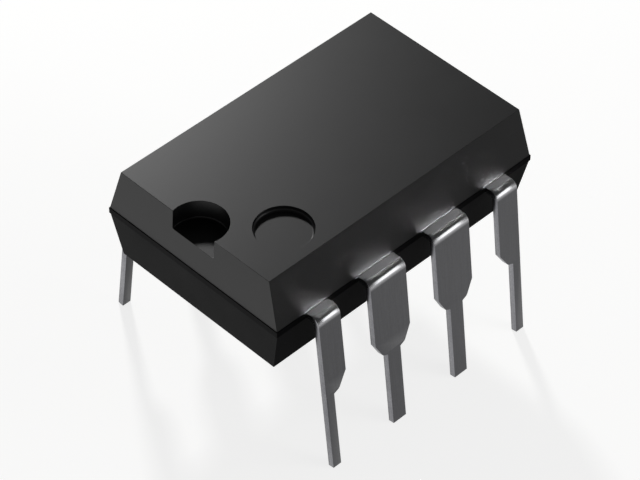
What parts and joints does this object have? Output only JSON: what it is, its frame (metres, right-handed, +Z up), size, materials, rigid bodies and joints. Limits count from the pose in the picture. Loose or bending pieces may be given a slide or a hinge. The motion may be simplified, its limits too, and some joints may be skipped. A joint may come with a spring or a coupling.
{
  "type": "dual in-line timer chip",
  "caption": "Moulded dual in-line timer integrated circuit with an end notch, a round pin-1 mark and two rows of bent through-hole leads.",
  "frame": {"origin": "midway between the two rows of leads and between the body's ends, on the plane that the lead tips stand on", "axes": "+X along the body away from the notched end, +Y across from the row of pin 1 to the row of pin 8, +Z up through the marked face"},
  "size_m": [0.01, 0.009, 0.007],
  "materials": {
    "moulding": "black filled epoxy moulding compound, fine matt to satin",
    "lead_frame": "matt tin plate over stamped copper alloy, drawn along the strip",
    "paddle": "bare copper alloy with a silver spot",
    "attach": "silver-filled epoxy, cured",
    "silicon": "polished and passivated silicon with sawn sides",
    "gold_wire": "drawn gold"
  },
  "bodies": {
    "root": {"moulded_body": "moulding", "lead_1": "lead_frame", "lead_2": "lead_frame", "lead_3": "lead_frame", "lead_4": "lead_frame", "lead_5": "lead_frame", "lead_6": "lead_frame", "lead_7": "lead_frame", "lead_8": "lead_frame", "die_paddle": "paddle", "die_attach": "attach", "silicon_die": "silicon", "bond_wire_1": "gold_wire", "bond_wire_2": "gold_wire", "bond_wire_3": "gold_wire", "bond_wire_4": "gold_wire", "bond_wire_5": "gold_wire", "bond_wire_6": "gold_wire", "bond_wire_7": "gold_wire", "bond_wire_8": "gold_wire"}
  },
  "joints": []
}
